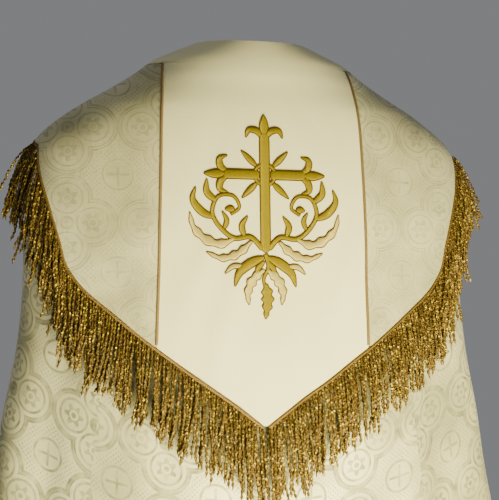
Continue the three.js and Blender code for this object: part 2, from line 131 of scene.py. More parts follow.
# depth below the neckline, half the width, half the thickness from front to back
BELL = np.array([
    [0, 64, 56], [14, 96, 64], [32, 135, 73], [52, 161, 81], [76, 197, 88], [105, 245, 97],
    [150, 302, 108], [210, 326, 119], [290, 339, 129], [400, 343, 139], [560, 366, 155],
    [760, 395, 175], [1000, 426, 203], [1450, 486, 256]], float)
FRONT_GAP = np.array([[0, 57], [60, 52], [120, 42], [190, 30], [270, 30], [1450, 62]], float)


def eased(table, column, depth):
    """The table's value at a depth, on a smooth curve through its rows."""
    x, y = table[:, 0], table[:, column]
    slope = np.gradient(y, x)
    depth = np.clip(depth, x[0], x[-1])
    k = np.clip(np.searchsorted(x, depth, side="right") - 1, 0, len(x) - 2)
    step = x[k + 1] - x[k]
    t = (depth - x[k]) / step
    return ((2 * t**3 - 3 * t**2 + 1) * y[k] + (t**3 - 2 * t**2 + t) * step * slope[k]
            + (3 * t**2 - 2 * t**3) * y[k + 1] + (t**3 - t**2) * step * slope[k + 1])


def flutes(angle, depth):
    """How far the cloth stands out in its folds: deep ones at the sides, shallow ones behind."""
    turned = np.abs(np.degrees(angle))
    side = np.clip((turned - 34) / 24, 0, 1)
    side_fall = SIDE_FOLD * np.clip((depth - 300) / 1150, 0, 1) ** 0.8
    back_fall = BACK_FOLD * np.clip((depth - 640) / 810, 0, 1)
    fine_fall = FINE_FOLD * np.clip((depth - 420) / 900, 0, 1)
    side_wave = np.cos(np.radians((turned - 72) * 8))
    back_wave = np.cos(np.radians(turned * 9)) * (1 - side)
    fine_wave = np.sin(np.radians(np.degrees(angle) * 21 + depth * 0.02))
    return side_fall * side * side_wave + back_fall * back_wave + fine_fall * fine_wave


def ripple(x, z):
    """A slow uneven rise and fall, from -1 to 1, like cloth that doesn't lie quite flat."""
    return np.sin(x * 9.1 + 1.3 * np.sin(z * 5.7 + 0.6)) * np.cos(z * 7.3 + 1.7 * np.sin(x * 4.9 + 2.1))


def oval(width, thickness, angle, depth, push=0.0):
    """A place round the body at a depth, from an angle that is 0 behind and half a turn in front."""
    power = 2 + 0.4 * np.clip(depth / 100, 0, 1)
    across = np.sin(angle)
    along = np.sign(np.cos(angle)) * np.maximum(0, 1 - np.abs(across) ** power) ** (1 / power)
    return np.stack([(width + push) * across, CENTRE_Y - (thickness + push) * along,
                     -depth + 0 * across], axis=-1)


def bell_points(angle, depth):
    uneven = 1.6 * ripple(angle, depth / 400) * np.clip((depth - 150) / 300, 0, 1)
    return oval(eased(BELL, 1, depth), eased(BELL, 2, depth), angle, depth, flutes(angle, depth) + uneven)


def front_edge(depth):
    return math.pi - np.arcsin(eased(FRONT_GAP, 1, depth) / eased(BELL, 1, depth))


def band_edge(depth):
    reach = (eased(FRONT_GAP, 1, depth) + ORPHREY_WIDTH) / eased(BELL, 1, depth)
    return math.pi - np.arcsin(np.minimum(0.985, reach))


def strip(depths, low, high, columns, points):
    """A grid of points down the depths, spread evenly between two edges at each depth."""
    share = np.linspace(0, 1, columns + 1)
    angle = low(depths)[:, None] + (high(depths) - low(depths))[:, None] * share
    return points(angle, np.repeat(depths[:, None], columns + 1, axis=1))


def unit(vectors):
    return vectors / np.maximum(np.linalg.norm(vectors, axis=-1, keepdims=True), 1e-9)


def laid_flat(grid, middle=0):
    """Where each point lies on the uncut cloth, in metres: out from the middle column, and down."""
    across = np.cumsum(np.linalg.norm(np.diff(grid, axis=1, prepend=grid[:, :1]), axis=-1), axis=1)
    across = across - across[:, middle:middle + 1]
    down = np.cumsum(np.linalg.norm(np.diff(grid, axis=0, prepend=grid[:1]), axis=-1), axis=0)
    return np.stack([across, -down], axis=-1) * MM


def build_mesh(name, verts, faces, uv, finish):
    """A smooth mesh from places in metres, faces as lists, and each place's spot on the flat cloth."""
    mesh = bpy.data.meshes.new(name)
    mesh.from_pydata(verts.tolist(), [], faces)
    mesh.polygons.foreach_set("use_smooth", np.ones(len(faces), bool))
    layer = mesh.uv_layers.new(name="cloth")
    corner = np.empty(len(mesh.loops), int)
    mesh.loops.foreach_get("vertex_index", corner)
    layer.data.foreach_set("uv", uv[corner].astype(np.float32).ravel())
    piece = bpy.data.objects.new(name, mesh)
    bpy.context.scene.collection.objects.link(piece)
    mesh.materials.append(finish)
    return piece


def grid_faces(rows, columns, start=0, wrap=False):
    """Faces between the points of a grid, row by row. wrap joins the last column to the first."""
    i, j = np.meshgrid(np.arange(rows - 1), np.arange(columns - (not wrap)), indexing="ij")
    k = (j + 1) % columns
    return start + np.stack([i * columns + j, (i + 1) * columns + j, (i + 1) * columns + k,
                             i * columns + k], axis=-1).reshape(-1, 4)


def border(rows, columns):
    """The grid's outer points in order, down the first column and back up the last."""
    return np.concatenate([
        np.arange(rows) * columns,
        (rows - 1) * columns + np.arange(1, columns),
        np.arange(rows - 2, -1, -1) * columns + columns - 1,
        np.arange(columns - 2, 0, -1)])


def two_faced(rows, columns):
    """The faces of a closed slab: the grid's points on top, the same again below, and a wall round."""
    top, below, ring = grid_faces(rows, columns), rows * columns, border(rows, columns)
    ahead = np.roll(ring, -1)
    wall = np.stack([ahead, ring, ring + below, ahead + below], axis=-1)
    return np.concatenate([top, top[:, ::-1] + below, wall])


def cloth_piece(name, grid, layer, finish, uv=None):
    """A layer of cloth over a grid in millimetres, between two distances off it, closed all round."""
    out = unit(np.cross(np.gradient(grid, axis=0), np.gradient(grid, axis=1)))
    over, under = (grid + out * layer[1]), (grid + out * layer[0])
    flat = (laid_flat(grid) if uv is None else uv).reshape(-1, 2)
    verts = np.concatenate([over.reshape(-1, 3), under.reshape(-1, 3)]) * MM
    piece = build_mesh(name, verts, two_faced(*grid.shape[:2]).tolist(), np.concatenate([flat, flat]), finish)
    piece.data.set_sharp_from_angle(angle=CUT_EDGE)
    return piece


def fasten(piece, body, node):
    """The piece moves with a body, and is the visible form of one node of the frame."""
    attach(piece, body)
    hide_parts(node)


def new_finish(name):
    finish = bpy.data.materials.new(name)
    finish.use_nodes = True
    return finish, finish.node_tree, finish.node_tree.nodes["Principled BSDF"]


def calc(tree, operation, a, b=0.0, clamp=False):
    node = tree.nodes.new("ShaderNodeMath")
    node.operation = operation
    node.use_clamp = clamp
    for socket, value in zip(node.inputs, (a, b)):
        if isinstance(value, (int, float)):
            socket.default_value = value
        else:
            tree.links.new(value, socket)
    return node.outputs[0]


def times(tree, a, b):
    return calc(tree, "MULTIPLY", a, b)


def plus(tree, a, b):
    return calc(tree, "ADD", a, b)


def minus(tree, a, b):
    return calc(tree, "SUBTRACT", a, b)


def past(tree, a, b, gain):
    """How far a is past b, times a gain, kept from 0 to 1."""
    return calc(tree, "MULTIPLY", minus(tree, a, b), gain, clamp=True)


def blend_colour(tree, share, low, high):
    """The colour at a share between two, each given as three numbers or by a socket."""
    node = tree.nodes.new("ShaderNodeMix")
    node.data_type = "RGBA"
    factor, a, b = node.inputs["Factor"], node.inputs[6], node.inputs[7]
    for socket, value in ((factor, share), (a, low), (b, high)):
        if isinstance(value, tuple):
            socket.default_value = (*value, 1)
        elif isinstance(value, (int, float)):
            socket.default_value = value
        else:
            tree.links.new(value, socket)
    return node.outputs[2]


def noise(tree, vector, scale, detail=2.0):
    node = tree.nodes.new("ShaderNodeTexNoise")
    node.inputs["Scale"].default_value = scale
    node.inputs["Detail"].default_value = detail
    tree.links.new(vector, node.inputs["Vector"])
    return node.outputs["Fac"]


def raised(tree, shader, height, depth):
    bump = tree.nodes.new("ShaderNodeBump")
    bump.inputs["Strength"].default_value = 1.0
    bump.inputs["Distance"].default_value = depth
    tree.links.new(height, bump.inputs["Height"])
    tree.links.new(bump.outputs[0], shader.inputs["Normal"])


def flat_cloth(tree):
    """The cloth's own coordinates in metres: the vector, and its two parts."""
    node = tree.nodes.new("ShaderNodeUVMap")
    node.uv_map = "cloth"
    parts = tree.nodes.new("ShaderNodeSeparateXYZ")
    tree.links.new(node.outputs[0], parts.inputs[0])
    return node.outputs[0], parts.outputs[0], parts.outputs[1]


def ribs(tree, along, period):
    """Threads side by side, from 0 between them to 1 on top."""
    turn = times(tree, along, math.pi / period)
    return calc(tree, "ABSOLUTE", calc(tree, "SINE", turn))


FIGURE_EDGE = 1400


def line_at(tree, distance, at, width):
    off = calc(tree, "ABSOLUTE", minus(tree, distance, at))
    return past(tree, width, off, FIGURE_EDGE)


def inside(tree, distance, radius):
    return past(tree, radius, distance, FIGURE_EDGE)


def length2(tree, a, b):
    return calc(tree, "SQRT", plus(tree, times(tree, a, a), times(tree, b, b)))


def woven_figure(tree, u, v, bold):
    """The brocade's figure: four-lobed medallions on a square lattice, each lobe ringed round a
    flower, with a small cross and a dotted field between them. 0 on the ground, 1 on the figure."""
    half, lobe_at, dot_step = 0.069, 0.035, 0.0069
    a0, b0 = calc(tree, "PINGPONG", u, half), calc(tree, "PINGPONG", v, half)
    a, b = calc(tree, "MAXIMUM", a0, b0), calc(tree, "MINIMUM", a0, b0)
    lobe_x = minus(tree, a, lobe_at)
    lobe = length2(tree, lobe_x, b)
    middle = length2(tree, a, b)
    c, e = minus(tree, half, a0), minus(tree, half, b0)
    between = length2(tree, c, e)
    turn = calc(tree, "ARCTAN2", b, lobe_x)
    petal = plus(tree, 0.0125, times(tree, calc(tree, "COSINE", times(tree, turn, 6)), 0.0032))
    flower = past(tree, inside(tree, minus(tree, lobe, petal), 0.0),
                  line_at(tree, lobe, 0.0055, 0.0011 * bold), 1.0)
    arms = times(tree, inside(tree, calc(tree, "MINIMUM", c, e), 0.0022), inside(tree, between, 0.0165))
    dots = times(tree, *[calc(tree, "SINE", times(tree, way, 2 * math.pi / dot_step)) for way in (u, v)])
    dots = past(tree, dots, 0.45, 5)
    field = times(tree, past(tree, lobe, 0.0375, FIGURE_EDGE), past(tree, between, 0.025, FIGURE_EDGE))
    parts = [line_at(tree, lobe, 0.0335, 0.0013 * bold), line_at(tree, lobe, 0.0295, 0.0010 * bold),
             line_at(tree, lobe, 0.0215, 0.0011 * bold), flower, line_at(tree, middle, 0.0085, 0.0012 * bold),
             inside(tree, middle, 0.0035), arms, line_at(tree, between, 0.0215, 0.0012 * bold),
             times(tree, dots, field)]
    figure = parts[0]
    for part in parts[1:]:
        figure = calc(tree, "MAXIMUM", figure, part)
    return figure


def brocade_finish(name, strength, bold):
    """Uneven ivory silk with its figure in a duller, darker weave, streaks of gloss down it that are also
    painted darker as painted sheen, and broad random patches of painted shade on the ground.
    """
    finish, tree, shader = new_finish(name)
    cloth, u, v = flat_cloth(tree)
    figure = woven_figure(tree, u, v, bold)
    threads = ribs(tree, v, 0.0011)
    slub = noise(tree, cloth, 260, 3)
    stretch = tree.nodes.new("ShaderNodeMapping")
    stretch.inputs["Scale"].default_value = (1.0, 0.09, 1.0)
    tree.links.new(cloth, stretch.inputs["Vector"])
    streak = noise(tree, stretch.outputs["Vector"], 520, 3)
    # Broad random patches of the ground are painted darker: painted shade standing in for the cloth's uneven
    # sheen.
    shade_patch_noise = noise(tree, cloth, 9, 3)
    broken = past(tree, noise(tree, cloth, 55, 4), 0.32, 2.6)
    share = times(tree, figure, plus(tree, 0.3 * strength, times(tree, broken, 0.7 * strength)))
    painted_shade_share = past(tree, shade_patch_noise, 0.36, 3.4)
    ground = blend_colour(tree, painted_shade_share, (0.42, 0.39, 0.20), (0.76, 0.71, 0.39))
    colour = blend_colour(tree, share, ground, (0.11, 0.11, 0.05))
    colour = blend_colour(tree, times(tree, slub, 0.25), colour, (0.80, 0.75, 0.42))
    # Streaks down the weave are painted darker here: painted sheen, on top of their real change of roughness
    # below.
    colour = blend_colour(tree, past(tree, streak, 0.5, 1.6), colour, (0.36, 0.34, 0.18))
    tree.links.new(colour, shader.inputs["Base Color"])
    rough = plus(tree, 0.36, plus(tree, times(tree, figure, 0.2), times(tree, streak, 0.12)))
    tree.links.new(rough, shader.inputs["Roughness"])
    shader.inputs["Metallic"].default_value = 0.35
    shader.inputs["Sheen Weight"].default_value = 0.15
    shader.inputs["Sheen Roughness"].default_value = 0.45
    height = plus(tree, times(tree, figure, 0.16), times(tree, threads, 0.16))
    height = plus(tree, height, times(tree, plus(tree, slub, streak), 0.35))
    raised(tree, shader, height, 0.0005)
    return finish


BROCADE = brocade_finish("ivory_brocade", 1.0, 1.9)
PANEL_LAYER = (-1.9, 0.9)
bell_depths = np.linspace(ORPHREY_NECK_DEPTH + 0.4, LENGTH, 190)
fixed = lambda angle: (lambda depth: np.full_like(depth, angle))
left_band_edge = lambda depth: -band_edge(depth)
# a panel's two edges, its columns and the one its figure is set out from, its cut size and area
brocade_panels = {
    "left": (left_band_edge, fixed(-BACK_SEAM), 96, 96, (0.80, 1.46), 0.86),
    "back": (fixed(-BACK_SEAM), fixed(BACK_SEAM), 84, 42, (0.70, 1.42), 0.73),
    "right": (fixed(BACK_SEAM), band_edge, 96, 0, (0.80, 1.46), 0.86),
}
for side, (low, high, columns, middle, cut, area) in brocade_panels.items():
    grid = strip(bell_depths, low, high, columns, bell_points)
    panel = cloth_piece(f"brocade_{side}_cloth", grid, PANEL_LAYER, BROCADE, laid_flat(grid, middle))
    fasten(panel, "cope", f"brocade_{side}")


# ---- orphrey, its canvas and the lining ----
# A cream satin band 100 mm wide goes round the neck and down both front edges, stiffened with
# canvas. The whole cope is lined in light gold cloth, with a tape round the hem inside.
ORPHREY_LAYER, CANVAS_LAYER, LINING_LAYER = (-0.7, 0.9), (-1.9, -1.0), (-3.3, -2.2)
HEM_TAPE_LAYER, FACING_LAYER = (-4.4, -3.6), (-5.2, -3.6)
HEM_TAPE_DEPTH = 40
FACING_DEPTH = 32


def plain_finish(name, low, high, thread, rough, sheen, relief=0.00025):
    """Plain woven cloth: two close shades, a fine thread, a soft gloss."""
    finish, tree, shader = new_finish(name)
    cloth, u, v = flat_cloth(tree)
    uneven = noise(tree, cloth, 7, 3)
    slub = noise(tree, cloth, 420, 2)
    colour = blend_colour(tree, uneven, low, high)
    colour = blend_colour(tree, times(tree, slub, 0.3), colour, tuple(0.86 * c for c in low))
    tree.links.new(colour, shader.inputs["Base Color"])
    tree.links.new(plus(tree, rough, times(tree, slub, 0.12)), shader.inputs["Roughness"])
    shader.inputs["Sheen Weight"].default_value = sheen
    warp, weft = ribs(tree, u, thread), ribs(tree, v, thread)
    height = plus(tree, times(tree, warp, weft), times(tree, slub, 0.8))
    raised(tree, shader, height, relief)
    return finish


SATIN = plain_finish("cream_satin", (0.85, 0.79, 0.40), (0.89, 0.84, 0.48), 0.0009, 0.42, 0.3)
LINING = plain_finish("lining_cloth", (0.68, 0.58, 0.27), (0.74, 0.65, 0.33), 0.0007, 0.36, 0.2)
CANVAS = plain_finish("stiff_canvas", (0.52, 0.47, 0.36), (0.60, 0.55, 0.44), 0.0016, 0.85, 0.0, 0.0005)


def hang_sheet(name, grid, layer, finish, node):
    piece = cloth_piece(name, grid, layer, finish)
    fasten(piece, "cope", node)


neck_depths = np.linspace(0, ORPHREY_NECK_DEPTH - 0.4, 24)
left_front_edge = lambda depth: -front_edge(depth)
band_grids = {
    "left": strip(bell_depths, left_front_edge, left_band_edge, 16, bell_points),
    "neck": strip(neck_depths, left_front_edge, front_edge, 200, bell_points),
    "right": strip(bell_depths, band_edge, front_edge, 16, bell_points),
}
for part, grid in band_grids.items():
    hang_sheet(f"orphrey_{part}_cloth", grid, ORPHREY_LAYER, SATIN, f"orphrey_{part}")
    hang_sheet(f"orphrey_canvas_{part}_cloth", grid, CANVAS_LAYER, CANVAS,
               f"orphrey_canvas_{part}")

lining_depths = np.linspace(0, LENGTH, 200)
tape_depths = np.linspace(LENGTH - HEM_TAPE_DEPTH, LENGTH, 8)
# a lining's two edges and columns, its cut size, and the size of the tape along its hem
lining_panels = {
    "left": (left_front_edge, fixed(-BACK_SEAM), 112, (0.95, 1.50), (0.95, 0.04)),
    "back": (fixed(-BACK_SEAM), fixed(BACK_SEAM), 84, (0.70, 1.48), (0.66, 0.04)),
    "right": (fixed(BACK_SEAM), front_edge, 112, (0.95, 1.50), (0.95, 0.04)),
}
for side, (low, high, columns, lining_cut, tape_cut) in lining_panels.items():
    hang_sheet(f"lining_{side}_cloth", strip(lining_depths, low, high, columns, bell_points),
               LINING_LAYER, LINING, f"lining_{side}")
    hang_sheet(f"hem_tape_{side}_cloth", strip(tape_depths, low, high, columns, bell_points),
               HEM_TAPE_LAYER, SATIN, f"hem_tape_{side}")

facing_grid = strip(np.linspace(0, FACING_DEPTH, 14), left_front_edge, front_edge, 160, bell_points)
hang_sheet("neck_facing_cloth", facing_grid, FACING_LAYER, LINING,
           "neck_facing")


# ---- braids ----
# Narrow dull gold braid covers the seams of the orphrey and of the hood's centre panel. It is a
# plaited strip about 4.6 mm wide with a rounded top.
BRAID_WIDTH = 4.6
ORPHREY_BRAID_FOOT = 1.1


def braid_finish(name, dark, mid, bright, pitch):
    finish, tree, shader = new_finish(name)
    cloth, u, v = flat_cloth(tree)
    slant = plus(tree, u, times(tree, calc(tree, "ABSOLUTE", v), 1.2))
    plait = ribs(tree, slant, pitch)
    sparkle = noise(tree, cloth, 1500, 2)
    # The plaits' tops are painted lighter and the grooves between them darker: painted shade between the
    # threads.
    colour = blend_colour(tree, plait, dark, mid)
    # Fine random specks are painted in the bright colour: painted sparkle glints.
    colour = blend_colour(tree, past(tree, sparkle, 0.52, 5), colour, bright)
    tree.links.new(colour, shader.inputs["Base Color"])
    tree.links.new(minus(tree, 0.62, times(tree, plait, 0.2)), shader.inputs["Roughness"])
    shader.inputs["Metallic"].default_value = 0.35
    raised(tree, shader, plus(tree, plait, times(tree, sparkle, 0.5)), 0.0006)
    return finish


BRAID = braid_finish("dull_gold_braid", (0.13, 0.075, 0.025), (0.30, 0.19, 0.07), (0.50, 0.36, 0.15), 0.0022)


def run_along(line):
    """How far along a line each of its points lies."""
    return np.concatenate([[0], np.cumsum(np.linalg.norm(np.diff(line, axis=0), axis=1))])


def strip_shape(line, across, out, half_width, foot, height, columns=8):
    """A closed strip with a rounded top along a line, all in millimetres. half_width and height may
    change along it. Its cloth coordinates run along the strip and out from its middle."""
    share = np.linspace(-1, 1, columns + 1)
    half = np.broadcast_to(np.asarray(half_width, float), len(line))[:, None, None]
    tall = np.broadcast_to(np.asarray(height, float), len(line))[:, None, None]
    base = line[:, None] + across[:, None] * half * share[:, None] + out[:, None] * foot
    dome = np.sqrt(np.maximum(0, 1 - share**2))[None, :, None]
    top = base + out[:, None] * (0.15 + tall * dome)
    rows, count = top.shape[:2]
    along = np.repeat(run_along(line)[:, None], count, 1)
    uv = np.stack([along, half[:, :, 0] * share], axis=-1).reshape(-1, 2) * MM
    verts = np.concatenate([top.reshape(-1, 3), base.reshape(-1, 3)]) * MM
    return verts, two_faced(rows, count), np.concatenate([uv, uv])


def join_shapes(name, shapes, finish):
    """One piece from several closed shapes."""
    start, verts, faces, uvs = 0, [], [], []
    for shape_verts, shape_faces, shape_uv in shapes:
        verts.append(shape_verts)
        faces.append(shape_faces + start)
        uvs.append(shape_uv)
        start += len(shape_verts)
    verts, faces, uvs = (np.concatenate(parts) for parts in (verts, faces, uvs))
    return build_mesh(name, verts, faces.tolist(), uvs, finish)


def domed_strip(name, line, across, out, half_width, foot, height, finish):
    return join_shapes(name, [strip_shape(line, across, out, half_width, foot, height)], finish)


def seam_line(points, depths, angle):
    """The line of a seam, with the directions across it and out of the cloth."""
    step = 0.004
    line = points(angle, depths)
    across = unit(points(angle + step, depths) - points(angle - step, depths))
    return line, across, unit(np.cross(np.gradient(line, axis=0), across))


seam_depths = np.linspace(ORPHREY_NECK_DEPTH + 4, LENGTH - 1, 420)
for side, sign in (("left", -1), ("right", 1)):
    line, across, out = seam_line(bell_points, seam_depths, sign * band_edge(seam_depths))
    braid = domed_strip(f"orphrey_braid_{side}_strip", line, across, out, BRAID_WIDTH / 2,
                        ORPHREY_BRAID_FOOT, 1.5, BRAID)
    fasten(braid, "cope", f"orphrey_braid_{side}")


# ---- the hood ----
# A stiffened shield hung from the neck: a plain cream centre panel between two brocade sides, on
# canvas, with its own lining. It lies over both shoulders and falls flat down the back to a point.
HOOD_LIFT = 12
HOOD_RISE = 6
HOOD_LENGTH = 558
HOOD_CORNER = 150
PANEL_TOP = 32
HOOD_EDGE = np.array([[150, 316], [200, 313], [250, 300], [300, 285], [340, 273], [372, 248],
                      [405, 209], [445, 159], [485, 104], [525, 46], [558, 3]], float)
HOOD_PANEL = np.array([[32, 137], [52, 140], [105, 145], [200, 148], [300, 150], [445, 153]], float)
HOOD_LINING_LAYER, HOOD_CANVAS_LAYER, HOOD_PANEL_LAYER = (0, 1.0), (1.35, 2.3), (2.65, 4.4)


def hood_width(depth):
    return eased(BELL, 1, depth + HOOD_RISE) + HOOD_LIFT


def hood_thickness(depth):
    return eased(BELL, 2, depth + HOOD_RISE) + HOOD_LIFT


def hood_points(angle, depth):
    """The hood's own surface, with the slow waves that the stiff cloth keeps."""
    settle = np.clip((depth - 60) / 200, 0, 1) * np.cos(angle) ** 2
    return oval(hood_width(depth), hood_thickness(depth), angle, depth,
                1.5 + 1.5 * settle * ripple(np.sin(angle) * 2.2, depth / 330))


def hood_edge(depth):
    x = np.minimum(eased(HOOD_EDGE, 1, depth), 0.9995 * hood_width(depth))
    below = np.arcsin(x / hood_width(depth))
    round_off = np.clip((depth - HOOD_CORNER) / 12, 0, 1)
    return np.where(depth <= HOOD_CORNER, math.pi / 2, math.pi / 2 + (below - math.pi / 2) * round_off)


def hood_seam(depth):
    panel = np.minimum(eased(HOOD_PANEL, 1, depth), eased(HOOD_EDGE, 1, depth) - 0.6)
    seam = np.arcsin(np.minimum(panel / hood_width(depth), 0.9999))
    share = np.clip((depth - PANEL_TOP) / 6, 0, 1)
    return np.where(depth < PANEL_TOP, math.pi / 2, math.pi / 2 + (seam - math.pi / 2) * share)


hood_depths = np.concatenate([np.linspace(0, HOOD_CORNER, 52)[:-1],
                              np.linspace(HOOD_CORNER, HOOD_LENGTH, 140)])
side_depths = hood_depths[(hood_depths > PANEL_TOP) & (hood_depths < 447)]


def hang_from_neck(piece, node):
    """The piece's place is baked into its mesh, and it is the visible form of one node of the frame."""
    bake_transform(piece)
    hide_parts(node)


def hood_sheet(node, depths, low, high, columns, layer, finish):
    grid = strip(depths, low, high, columns, hood_points)
    angle = low(depths)[:, None] + (high(depths) - low(depths))[:, None] * np.linspace(0, 1, columns + 1)
    across = hood_width(depths)[:, None] * np.sin(angle)
    flat_uv = np.stack([across, -np.repeat(depths[:, None], columns + 1, 1)], axis=-1) * MM
    piece = cloth_piece(f"{node}_cloth", grid, layer, finish, flat_uv)
    hang_from_neck(piece, node)


# The hood's brocade is a painted-light copy of the bell's: the same cloth with its figure painted fainter and
# thinner, standing in for the different light on the hood.
HOOD_BROCADE_PAINTED_LIGHT = brocade_finish("ivory_brocade_hood_painted_light", 0.6, 1.4)
left_hood_edge = lambda depth: -hood_edge(depth)
left_hood_seam = lambda depth: -hood_seam(depth)
hood_sheet("hood_panel_centre", hood_depths, left_hood_seam, hood_seam, 72,
           HOOD_PANEL_LAYER, SATIN)
hood_sheet("hood_panel_left", side_depths, left_hood_edge, left_hood_seam, 40,
           HOOD_PANEL_LAYER, HOOD_BROCADE_PAINTED_LIGHT)
hood_sheet("hood_panel_right", side_depths, hood_seam, hood_edge, 40,
           HOOD_PANEL_LAYER, HOOD_BROCADE_PAINTED_LIGHT)
hood_sheet("hood_canvas", hood_depths, left_hood_edge, hood_edge, 120,
           HOOD_CANVAS_LAYER, CANVAS)
hood_sheet("hood_lining", hood_depths, left_hood_edge, hood_edge, 120,
           HOOD_LINING_LAYER, LINING)

hood_seam_depths = np.linspace(PANEL_TOP + 4, 446, 220)
for side, sign in (("left", -1), ("right", 1)):
    line, across, out = seam_line(hood_points, hood_seam_depths, sign * hood_seam(hood_seam_depths))
    braid = domed_strip(f"hood_braid_{side}_strip", line, across, out, BRAID_WIDTH / 2, 4.5, 1.6, BRAID)
    hang_from_neck(braid, f"hood_braid_{side}")


# ---- fringe header ----
# A dark gold woven heading, 5 mm wide, is sewn along the hood's lower edge from shoulder to
# shoulder, meeting at the point. The bullion hangs from it.
HEADER_WIDTH = 5.0
HOOD_TAPER = 372
HEADER = braid_finish("fringe_heading", (0.06, 0.03, 0.004), (0.17, 0.095, 0.012), (0.42, 0.27, 0.04), 0.0030)
header_depths = np.concatenate([np.linspace(HOOD_CORNER, HOOD_TAPER, 110)[:-1],
                                np.linspace(HOOD_TAPER, HOOD_LENGTH, 150)])


def edge_line(depths):
    """The hood's right edge, with the directions out of its side and out of its face."""
    line = hood_points(hood_edge(depths), depths)
    inner = hood_points(hood_edge(depths) - 0.01, depths)
    along = np.gradient(line, axis=0)
    out = unit(np.cross(along, line - inner))
    return line, unit(np.cross(out, along)), out


MIRROR = np.array([-1.0, 1.0, 1.0])
edge, aside, edge_out = edge_line(header_depths)
header_middle = edge + aside * HEADER_WIDTH / 2
header_middle[:, 0] = np.maximum(header_middle[:, 0], HEADER_WIDTH * 0.35)
for side, flip in (("right", np.ones(3)), ("left", MIRROR)):
    order = slice(None) if side == "right" else slice(None, None, -1)
    header = domed_strip(f"fringe_header_{side}_strip", (header_middle * flip)[order],
                         (aside * flip)[order], (edge_out * flip)[order],
                         HEADER_WIDTH / 2 + 0.4, 1.0, 4.6, HEADER)
    hang_from_neck(header, f"fringe_header_{side}")


# ---- bullion fringe ----
# Some hundreds of strands hang side by side from the heading, in two rows. Each is a gold cord
# doubled and twisted on itself, 112 mm long, crinkled, and drawn in to a blunt foot.
FRINGE_LENGTH = 112
STRAND_RADIUS = 2.3
STRAND_TWIST = 8.0
STRAND_SPACING = 5.4
STRAY_SHARE = 0.04
RING_STEP = 2.1
RING_SIDES = 8
random = np.random.default_rng(11)


def bullion_finish():
    finish, tree, shader = new_finish("gold_bullion")
    place = tree.nodes.new("ShaderNodeTexCoord").outputs["Object"]
    cells = tree.nodes.new("ShaderNodeTexVoronoi")
    cells.inputs["Scale"].default_value = 420
    tree.links.new(place, cells.inputs["Vector"])
    chip = tree.nodes.new("ShaderNodeSeparateColor")
    tree.links.new(cells.outputs["Color"], chip.inputs[0])
    tone = noise(tree, place, 60, 3)
    base = blend_colour(tree, chip.outputs[0], (0.040, 0.021, 0.0006), (0.150, 0.090, 0.0010))
    base = blend_colour(tree, times(tree, tone, 0.5), base, (0.11, 0.055, 0.001))
    # A few cells are painted bright gold: painted sparkle glints.
    base = blend_colour(tree, past(tree, chip.outputs[1], 0.86, 6), base, (0.75, 0.55, 0.06))
    tree.links.new(base, shader.inputs["Base Color"])
    shader.inputs["Metallic"].default_value = 0.4
    tree.links.new(plus(tree, 0.36, times(tree, chip.outputs[2], 0.35)),
                   shader.inputs["Roughness"])
    raised(tree, shader, plus(tree, chip.outputs[2], cells.outputs["Distance"]), 0.0011)
    return finish


BULLION = bullion_finish()


def back_y(x, depth, lift):
    """How far back the surface under the fringe stands, with a distance off it."""
    width = np.maximum(hood_width(depth) + lift, np.abs(x) + 3)
    return oval(width, hood_thickness(depth) + lift, np.arcsin(x / width), depth)[..., 1]


def strands(first, last):
    """The strands on the right edge between two places along it, each share 0 to 1 of its length."""
    run = run_along(header_middle)
    places = np.arange(first * run[-1], last * run[-1], STRAND_SPACING)
    verts, faces, start = [], [], 0
    for row, (depth_off, shorter) in enumerate(((0.0, 0), (4.6, 5))):
        bunch = random.normal(0, 6.5, len(places) // 3 + 2)
        for count_along, place in enumerate(places):
            at = min(place + random.uniform(-1.5, 1.5) + row * 1.3, run[-1])
            root = np.array([np.interp(at, run, header_middle[:, k]) for k in range(3)])
            root += np.array([0, -1, 0]) * (1.0 + depth_off * 0.4) + np.array([0, 0, -2.0])
            corner = math.exp(-max(0, -root[2] - HOOD_CORNER) / 55)
            splay = math.radians(3 * min(1, root[0] / 90) + 22 * corner) + random.normal(0, 0.05)
            length = FRINGE_LENGTH - shorter + random.normal(0, 7.0)
            if random.random() < STRAY_SHARE:
                splay += random.uniform(0.1, 0.32)
                length *= random.uniform(0.75, 0.95)
            count = int(length / RING_STEP)
            s = np.linspace(0, 1, count + 1)
            swing = bunch[count_along // 3] + random.normal(0, 2.0)
            wave = random.uniform(0, 6.28)
            x = root[0] + length * math.sin(splay) * s ** (0.85 - 0.35 * corner) + swing * s**2
            x += 1.1 * np.sin(s * random.uniform(5, 9) * math.pi + wave) * s
            z = root[2] - length * math.cos(splay) * s
            y_foot = back_y(x[-1:], -z[-1:], 6 + depth_off)[0] + random.normal(0, 1.6)
            y = root[1] + (y_foot - root[1]) * s - 5.0 * np.sin(math.pi * s) + 0.8 * np.cos(s * 17 + wave)
            line = np.stack([x, np.minimum(y, back_y(x, -z, 3.0)), z], axis=1)
            turn = np.linspace(0, 2 * math.pi, RING_SIDES, endpoint=False)
            phase = random.uniform(0, 6.28) + 2 * math.pi * s * length / STRAND_TWIST / 2
            lobes = 0.72 + 0.38 * np.cos(2 * (turn[None] - phase[:, None]))
            thick = STRAND_RADIUS * np.clip((1 - s) * 26, 0.25, 1)[:, None]
            ring = line[:, None] + (thick * lobes)[..., None] * np.stack(
                [np.cos(turn), np.sin(turn), np.zeros(RING_SIDES)], axis=1)[None]
            verts += [ring.reshape(-1, 3), line[:1] + [0, 0, 0.5], line[-1:] - [0, 0, 0.8]]
            total = (count + 1) * RING_SIDES
            faces.append(grid_faces(count + 1, RING_SIDES, start, wrap=True))
            low = start + np.arange(RING_SIDES)
            side_by = np.roll(low, -1)
            crown, toe = np.full(RING_SIDES, start + total), np.full(RING_SIDES, start + total + 1)
            faces.append(np.stack([low, side_by, crown, crown], axis=1))
            foot = total - RING_SIDES
            faces.append(np.stack([side_by + foot, low + foot, toe, toe], axis=1))
            start += total + 2
    return np.concatenate(verts), np.concatenate(faces)


